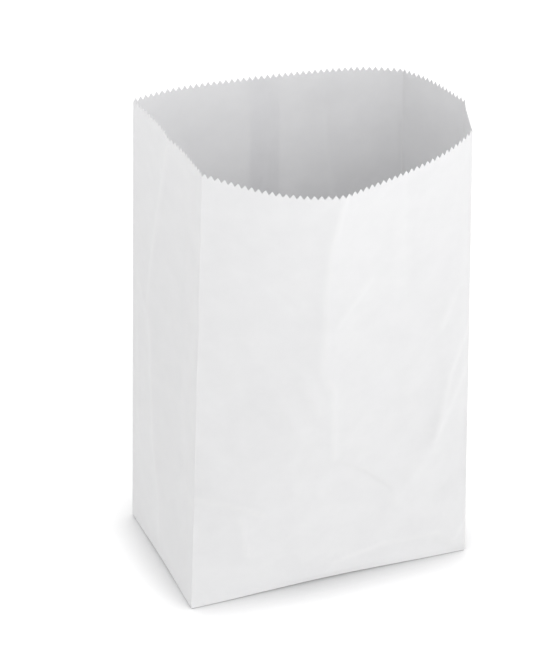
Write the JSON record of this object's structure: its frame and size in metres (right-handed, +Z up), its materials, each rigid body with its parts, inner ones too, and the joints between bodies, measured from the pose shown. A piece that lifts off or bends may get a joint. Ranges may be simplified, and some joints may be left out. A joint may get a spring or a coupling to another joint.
{
  "type": "paper bag",
  "caption": "Plain white flat-bottomed paper bag standing open, with side gussets, a pinked mouth, a glued back seam and folded, glued bottom flaps.",
  "frame": {"origin": "middle of the rectangular base, on the surface the bag stands on", "axes": "+Z up from the base to the mouth, +X along the bag's width, -Y towards the front, which bows out, and +Y towards the back with the glued seam"},
  "size_m": [0.1236, 0.0926, 0.2],
  "materials": {
    "white_paper": "matte"
  },
  "bodies": {
    "root": {"paper_bag": "white_paper"}
  },
  "joints": []
}
